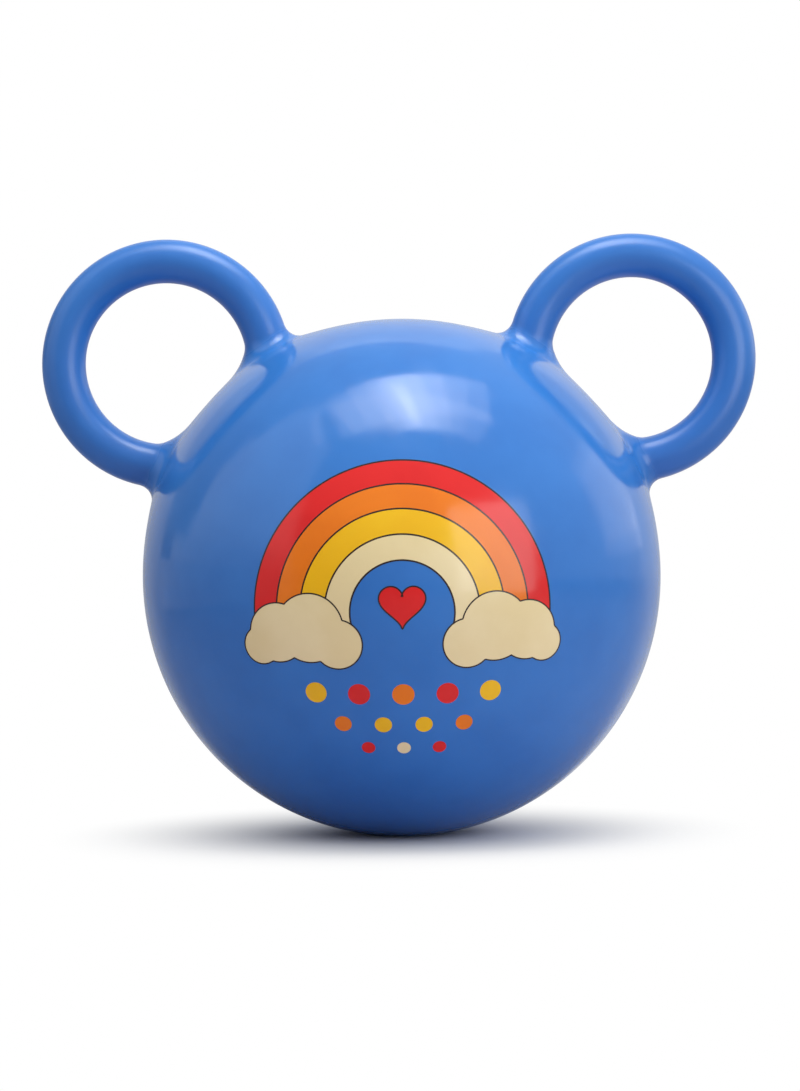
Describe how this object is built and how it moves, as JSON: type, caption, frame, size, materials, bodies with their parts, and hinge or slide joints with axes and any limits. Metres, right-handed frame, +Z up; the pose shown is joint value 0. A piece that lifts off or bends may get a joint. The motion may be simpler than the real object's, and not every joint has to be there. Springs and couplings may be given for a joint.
{
  "type": "hopper ball",
  "caption": "Inflated vinyl hopper ball for a child to sit and bounce on, with hollow ring handles to hold, a printed front and a plugged air valve at the back.",
  "frame": {"origin": "centre of the flat on which the ball rests on the floor", "axes": "+Z up, the handles lean out along -X and +X, the printed front faces -Y and the air valve faces +Y"},
  "size_m": [0.526, 0.38, 0.4398],
  "materials": {
    "ball_vinyl": "gloss",
    "handle_vinyl": "gloss",
    "valve_rubber": "satin",
    "plug_plastic": "satin"
  },
  "bodies": {
    "ball": {"ball_shell": "ball_vinyl", "left_handle": "handle_vinyl", "right_handle": "handle_vinyl", "valve_sleeve": "valve_rubber"},
    "plug": {"valve_plug": "plug_plastic"}
  },
  "joints": [
    {"name": "plug_pull", "type": "slide", "parent": "ball", "child": "plug", "axis": [0, 1, 0], "range_m": [0, 0.03]}
  ]
}
